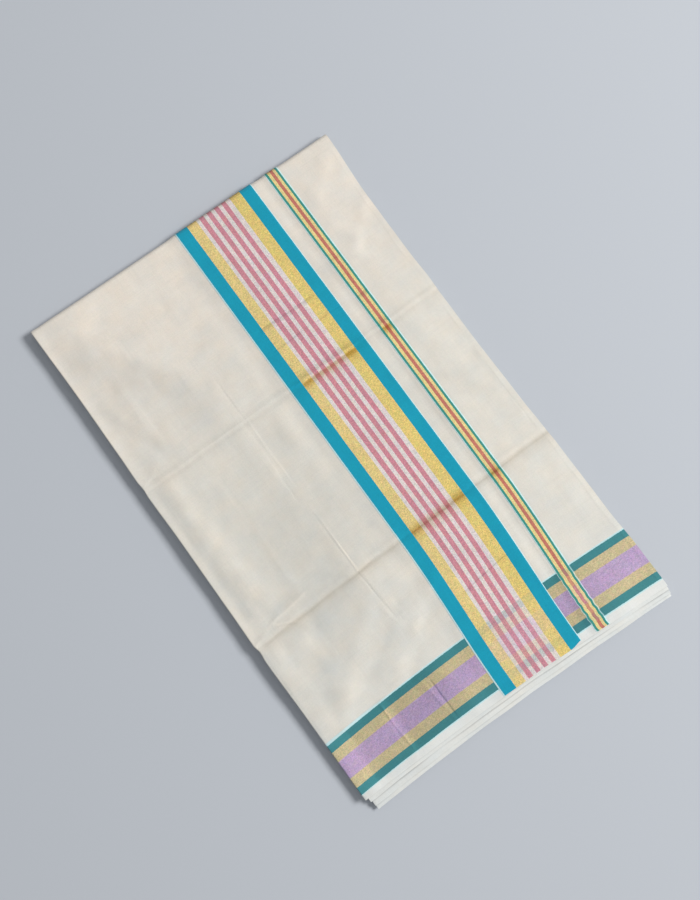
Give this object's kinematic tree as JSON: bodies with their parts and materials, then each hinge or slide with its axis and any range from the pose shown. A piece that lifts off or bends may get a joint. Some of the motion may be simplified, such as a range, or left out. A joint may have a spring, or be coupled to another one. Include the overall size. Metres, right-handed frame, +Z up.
{
  "type": "folded cotton saree",
  "caption": "Handloom cotton saree folded flat into an oblong packet, with wide and narrow lengthwise borders and a cross band near the hem",
  "frame": {"origin": "middle of the flat underside, on the surface the packet lies on", "axes": "X across the packet towards the narrow border, Y along it towards the top fold, Z up"},
  "size_m": [0.405, 0.6552, 0.0148],
  "materials": {
    "body_cloth": "unbleached handloom cotton, plain weave, matt",
    "wide_border_weave": "close warp weave of teal, gold, pink and white stripes",
    "narrow_border_weave": "close warp weave of teal, gold and rust stripes"
  },
  "bodies": {
    "root": {"top_stretch": "body_cloth", "wide_border": "wide_border_weave", "narrow_border": "narrow_border_weave", "second_stretch": "body_cloth", "third_stretch": "body_cloth", "fourth_stretch": "body_cloth", "folded_layers": "body_cloth"}
  },
  "joints": []
}
